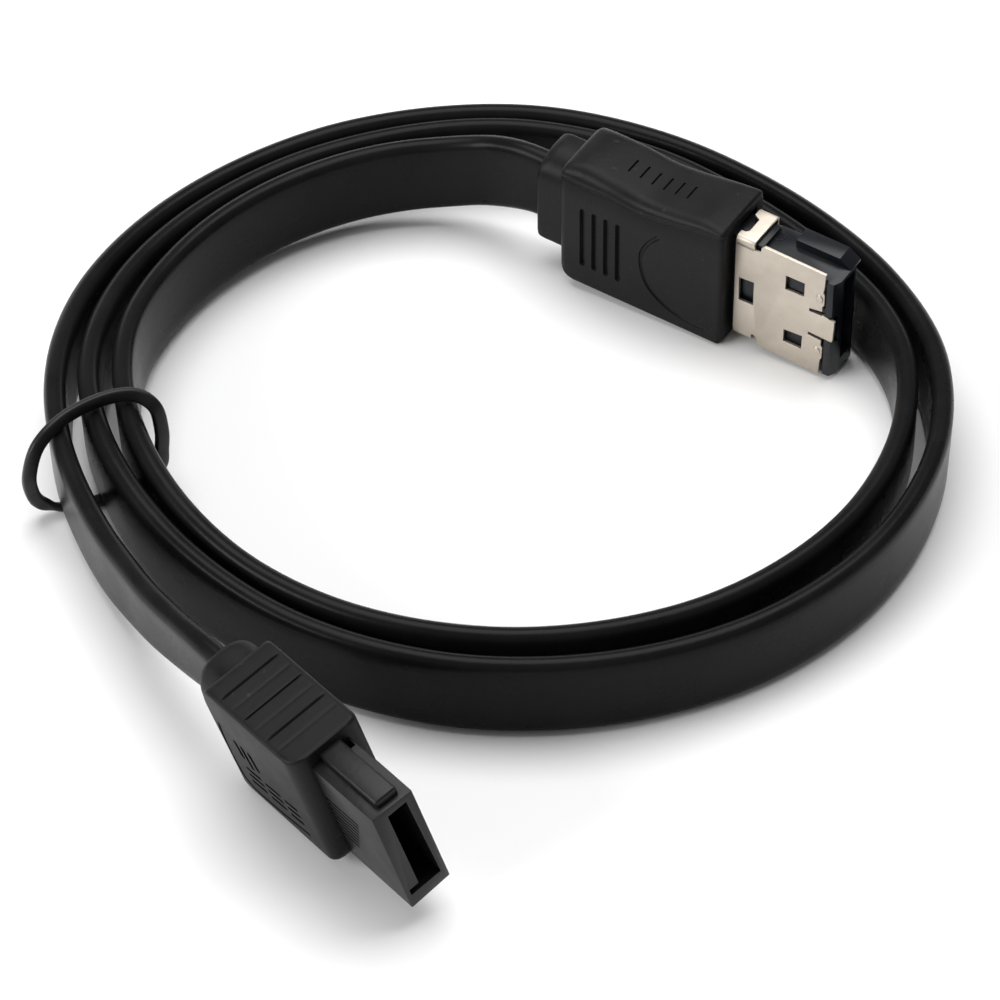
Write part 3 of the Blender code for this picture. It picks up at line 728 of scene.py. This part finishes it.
def esata_sheet():
    plate = carve(slab(PLATE, -SHEET_OUT, -SHEET_IN), [slab(w, *WINDOW_SPAN) for w in WINDOWS])
    far = slab(FAR_PLATE, SHEET_IN, SHEET_OUT - 0.01)
    upper = carve(strap(1, UPPER_BEND), [prism(STRAP_BITE, *BITE_SPAN)])
    lower = strap(-1, LOWER_BEND)
    return join([rounded(plate, 0.07, 3), rounded(far, 0.06), upper, lower] + [bump(z) for z in BUMPS])


sheet = piece("esata_sheet", esata_sheet(), SHELL, ESATA, 35.0)
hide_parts("esata_shell")

# Plastic insert inside the shell: its outline in X and Y, with a lip in front of the near plate
CORE_LOW = -6.12
CORE_HIGH = 6.1
CORE_OUTLINE = ((2.9, -1.78), (9.85, -1.78), (9.85, -2.06), (10.5, -2.06), (10.85, -1.3), (10.85, 2.06),
                (2.9, 2.06))

# What is cut from it: above the ledge all but a rail along the far side, the rail's sloping front end, the
# chamfer at the far front edge, the mouth and a notch in the near lip. Then its rear block.
LEDGE_CUT = ((2.0, -3.0), (12.0, -3.0), (12.0, 0.3), (5.3, 0.3), (5.3, 3.0), (2.0, 3.0))
LEDGE_SPAN = (5.2, 7.0)
SLOPE_CUT = ((9.7, 6.6), (9.7, 6.1), (11.7, 4.6), (11.7, 6.6))
SLOPE_SPAN = (-0.5, 3.0)
CHAMFER_CUT = ((9.7, 2.4), (9.7, 2.06), (11.6, 0.76), (11.6, 2.4))
CHAMFER_SPAN = (-7.0, 5.0)
MOUTH = ((0.0, -0.75, -4.75), (12.0, 1.0, 4.75))
LIP_NOTCH = ((10.3, -2.5, -1.9), (11.5, -1.3, 1.2))
CORE_REAR = ((-0.8, -1.6, -5.6), (3.1, 1.6, 5.6))

# Plain ring on the ledge
MARK_PLACE = Vector((3.4, 0.72, LEDGE_SPAN[0]))
MARK_RADIUS = 0.52
MARK_WIRE = 0.06


def ring_mark():
    up = Vector((0.0, 0.0, 1.0))
    rings = []
    for turn in full_turn(24):
        out = Vector((math.cos(turn), math.sin(turn), 0.0))
        spot = MARK_PLACE + out * MARK_RADIUS
        rings.append([spot + (out * math.cos(t) + up * math.sin(t)) * MARK_WIRE for t in full_turn(6)])
    return loft(rings, True)


def esata_core():
    core = prism(CORE_OUTLINE, CORE_LOW, CORE_HIGH)
    core = carve(core, [prism(LEDGE_CUT, *LEDGE_SPAN)])
    core = carve(core, [slab(SLOPE_CUT, *SLOPE_SPAN)])
    core = carve(core, [prism(CHAMFER_CUT, *CHAMFER_SPAN)])
    core = rounded(core, 0.1, 2)
    core = carve(core, [box(*MOUTH), box(*LIP_NOTCH)])
    return join([core, rounded(box(*CORE_REAR), 0.1), ring_mark()])


core = piece("esata_core", esata_core(), INSERT, ESATA, 35.0)
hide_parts("esata_insert")

# Internal plug's moulding; S_REAR_EDGE gives the upper edge's height where it falls to the rear
S_REAR_EDGE = ((-13.3, 0.5), (-13.2, 2.4), (-12.9, 4.3), (-12.5, 5.9), (-12.1, 6.6), (-11.6, 6.9),
               (-11.0, 6.95))
S_REAR = -13.25
S_REAR_ROUND = 0.6
S_NEAR_ROUND = 1.4
S_FAR_ROUND = 0.8
S_HIGH = 6.95
S_LOW = -6.7
S_NEAR = 3.45
S_FAR = 3.3
S_LOW_REAR_ROUND = 1.3
S_LOW_FRONT_ROUND = 1.8
S_HIGH_FRONT_ROUND = 0.22
S_LOW_EDGE = 0.6
S_NEAR_EDGE = 0.35
S_FAR_EDGE = 0.5
S_TOP_STEPS = 20

# Cross grooves over its upper narrow side: place, depth and half width, deep narrow ones and shallow wider
# ones in turn. Then their ends across the plug and how they fade out to their sides.
S_GROOVES = ((-9.95, 0.22, 0.11), (-8.4, 0.05, 0.22), (-6.85, 0.22, 0.11), (-5.3, 0.05, 0.22),
             (-3.8, 0.22, 0.11), (-2.3, 0.05, 0.22))
S_GROOVE_ENDS = (-3.0, 2.75)
S_GROOVE_REACH = 1.6
S_GROOVE_FALL = 2.2

# Engraved line round the plain mark on the near side, then the mark's short upright bars (place, length)
# and its three columns of long bars (start, stop), each column a little higher than the one before
S_LINE = ((-12.0, 2.6), (-12.3, 1.0), (-12.35, -3.6), (-12.05, -4.9), (-11.2, -5.45), (-9.0, -5.5),
          (-3.2, -4.75))
S_LINE_SIDE = -3.44
S_LINE_RADIUS = 0.2
S_SHORT_BARS = ((-10.4, 1.9), (-9.5, 2.7), (-8.5, 2.2))
S_SHORT_TOP = 1.5
S_SHORT_SLANT = 0.3
S_SHORT_WIDE = 0.5
S_LONG_BARS = ((-10.6, -8.6), (-7.9, -5.9), (-5.2, -3.5))
S_LONG_HEIGHTS = (-2.2, -3.1, -4.0)
S_LONG_SLANT = 0.22
S_LONG_WIDE = 0.42
S_COLUMN_LIFT = 0.15
S_MARK_SPAN = (-3.9, -3.15)

# Neck round the cable
S_NECK_REAR = -15.15
S_NECK_FRONT = -11.0
S_NECK_ROUND = 1.1
S_NECK_HALF = 3.0
S_NECK_REACH = 4.6
S_NECK_RISE = 1.8
S_NECK_SQUARE = (0.7, 0.6)


def groove_depth(x, y):
    """Depth of the cross grooves on the upper narrow side."""
    deep = 0.0
    if S_GROOVE_ENDS[0] <= y <= S_GROOVE_ENDS[1]:
        for middle, depth, width in S_GROOVES:
            d = abs(x - middle) / width
            if d < S_GROOVE_REACH:
                deep = max(deep, depth * math.exp(-S_GROOVE_FALL * d * d))
    return deep


def sata_body():
    rings = []
    for x in stations(S_REAR, 0.0, S_REAR_ROUND, S_NEAR_ROUND, 150):
        rear = inset(x - S_REAR, S_REAR_ROUND)
        near = S_NEAR - rear - inset(-x, S_NEAR_ROUND)
        far = S_FAR - rear - inset(-x, S_FAR_ROUND)
        high = wave(S_REAR_EDGE, x) if x < S_REAR_EDGE[-1][0] else S_HIGH
        high -= inset(-x, S_HIGH_FRONT_ROUND)
        low = S_LOW + inset(x - S_REAR, S_LOW_REAR_ROUND) + inset(-x, S_LOW_FRONT_ROUND)
        foot = low + S_LOW_EDGE
        brow = high - S_NEAR_EDGE
        left = -near + S_NEAR_EDGE
        right = far - S_FAR_EDGE
        points = corner(-near + S_LOW_EDGE, foot, S_LOW_EDGE, 270, 5)
        points += [(-near, foot + (brow - foot) * k / 8) for k in range(1, 9)]
        points += corner(left, brow, S_NEAR_EDGE, 180, 5)[1:]
        for k in range(1, S_TOP_STEPS):
            y = left + (right - left) * k / S_TOP_STEPS
            points.append((y, high - groove_depth(x, y)))
        top = high - S_FAR_EDGE
        base = low + S_FAR_EDGE
        points += corner(right, top, S_FAR_EDGE, 90, 5)
        points += [(far, top + (base - top) * k / 4) for k in range(1, 4)]
        points += corner(right, base, S_FAR_EDGE, 0)
        rings.append([(x, y, z) for y, z in points])
    return loft(rings)


def sata_neck():
    rings = []
    for x in stations(S_NECK_REAR, S_NECK_FRONT, S_NECK_ROUND, 0.2, 8):
        draw = inset(x - S_NECK_REAR, S_NECK_ROUND)
        half = S_NECK_HALF - draw
        reach = S_NECK_REACH - draw
        rings.append([(x, half * swell(math.cos(t), S_NECK_SQUARE[0]),
                       S_NECK_RISE + reach * swell(math.sin(t), S_NECK_SQUARE[1])) for t in full_turn(40)])
    return loft(rings)


def bar(x0, z0, x1, z1, wide):
    """A straight engraving tool on the near side of the internal plug, with pointed ends."""
    way = Vector((x1 - x0, z1 - z0)).normalized()
    turn = Vector((-way.y, way.x)) * wide * 0.5
    tip = way * wide * 0.3
    a = Vector((x0, z0))
    b = Vector((x1, z1))
    corners = (a - tip, a + turn, b + turn, b + tip, b - turn, a - turn)
    return slab([tuple(p) for p in corners], *S_MARK_SPAN)


def sata_mould():
    tools = [tube([(x, S_LINE_SIDE, z) for x, z in smooth_path(S_LINE, 44)], S_LINE_RADIUS)]
    for x, length in S_SHORT_BARS:
        tools.append(bar(x, S_SHORT_TOP, x + S_SHORT_SLANT, S_SHORT_TOP - length, S_SHORT_WIDE))
    for column, (x0, x1) in enumerate(S_LONG_BARS):
        for z in S_LONG_HEIGHTS:
            start = z + S_COLUMN_LIFT * column
            tools.append(bar(x0, start, x1, start + S_LONG_SLANT, S_LONG_WIDE))
    body = carve(sata_body(), tools)
    return join([body, sata_neck()])


moulding = piece("sata_moulding", sata_mould(), MOULD, SATA, 38.0)
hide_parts("sata_overmould")

# Internal plug's housing: sections in Y and Z at its rear and front, which differ a little, then its key
# bar, the L-shaped opening and the small recess behind the key bar's side
NOSE_REAR = -1.5
NOSE_FRONT = 7.75
NOSE_REAR_SECTION = ((-1.97, -6.05), (1.97, -6.05), (1.97, 5.5), (-1.97, 5.5))
NOSE_FRONT_SECTION = ((-1.98, -6.08), (1.98, -5.9), (2.0, 5.35), (-1.93, 5.55))
KEY_BAR = ((-1.0, -0.95, 4.9), (7.2, 1.15, 6.25))
OPENING_SPAN = (1.0, 9.0)
OPENING = ((-1.6, -4.75), (1.4, -4.75), (1.2, 4.7), (-0.65, 4.7), (-0.65, -4.1), (-1.6, -4.1))
RECESS = ((-0.5, 1.2, 4.2), (0.9, 1.75, 6.5))

# Fine grooves by the moulding on its near side, each shorter than the one above it
FINE_GROOVES = 8
FINE_PITCH = 0.66
FINE_TOP = 1.9
FINE_WIDE = 0.28
FINE_REAR = 0.05
FINE_FRONT = 4.3
FINE_SHORTER = 0.28
FINE_SIDES = (-2.4, -1.78)


def sata_nose():
    shell = loft([[(NOSE_REAR, y, z) for y, z in NOSE_REAR_SECTION],
                  [(NOSE_FRONT, y, z) for y, z in NOSE_FRONT_SECTION]])
    shell = rounded(shell, 0.09, 2)
    shell = carve(shell, [rounded(box(*KEY_BAR), 0.22, 3)], "UNION")
    shell = carve(shell, [rail(OPENING, *OPENING_SPAN), box(*RECESS)])
    grooves = []
    for k in range(FINE_GROOVES):
        top = FINE_TOP - FINE_PITCH * k
        front = FINE_FRONT - FINE_SHORTER * k
        grooves.append(box((FINE_REAR, FINE_SIDES[0], top - FINE_WIDE), (front, FINE_SIDES[1], top)))
    return carve(shell, grooves)


nose = piece("sata_nose", sata_nose(), HOUSING, SATA, 30.0)
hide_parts("sata_housing")

# Nodes that keep their own shape get a worked material
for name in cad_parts:
    for part_name, look in (("_contact_", CONTACT), ("_lead_", LEAD), ("_inner_mould", INNER)):
        if part_name in name:
            for held in bpy.data.objects[name].material_slots:
                held.material = look

# Floor and lights
FLOOR_HALF = 3.0
FLOOR_DROP = 0.0001
WORLD_SEEN = 1.0
WORLD_LIGHT = 0.24


def floor_material():
    n = Nodes("floor_white")
    n.shader.inputs["Base Color"].default_value = (0.9, 0.9, 0.9, 1.0)
    n.shader.inputs["Roughness"].default_value = 0.9
    n.shader.inputs["Specular IOR Level"].default_value = 0.1
    return n.mat


def floor_mesh():
    build = bmesh.new()
    bmesh.ops.create_grid(build, x_segments=2, y_segments=2, size=FLOOR_HALF)
    mesh = bpy.data.meshes.new("floor")
    build.to_mesh(mesh)
    build.free()
    mesh.materials.append(floor_material())
    return mesh


def studio_world():
    """White to the camera, and much dimmer as a light on the part."""
    world = bpy.data.worlds.new("studio")
    world.use_nodes = True
    tree = world.node_tree
    back = tree.nodes["Background"]
    back.inputs["Color"].default_value = (1.0, 1.0, 1.0, 1.0)
    rays = tree.nodes.new("ShaderNodeLightPath")
    level = tree.nodes.new("ShaderNodeMapRange")
    level.inputs["To Min"].default_value = WORLD_LIGHT
    level.inputs["To Max"].default_value = WORLD_SEEN
    tree.links.new(rays.outputs["Is Camera Ray"], level.inputs["Value"])
    tree.links.new(level.outputs["Result"], back.inputs["Strength"])
    return world


def lamp(name, place, size, watts):
    """A rectangular light that faces the part's origin."""
    data = bpy.data.lights.new(name, "AREA")
    data.shape = "RECTANGLE"
    data.size = size[0]
    data.size_y = size[1]
    data.energy = watts
    obj = bpy.data.objects.new(name, data)
    obj.location = place
    obj.rotation_euler = (-Vector(place)).to_track_quat("-Z", "Y").to_euler()
    scene.collection.objects.link(obj)


floor = bpy.data.objects.new("floor", floor_mesh())
scene.collection.objects.link(floor)
floor.location.z = -FLOOR_DROP

scene.world = studio_world()
lamp("overhead", place=(0.0, 0.2, 0.76), size=(0.85, 0.6), watts=7.2)
lamp("left", place=(-0.95, -0.42, 0.42), size=(0.7, 0.5), watts=10.0)
lamp("back", place=(0.0, 0.9, 0.14), size=(1.2, 0.26), watts=1.2)

scene.view_settings.view_transform = "Standard"
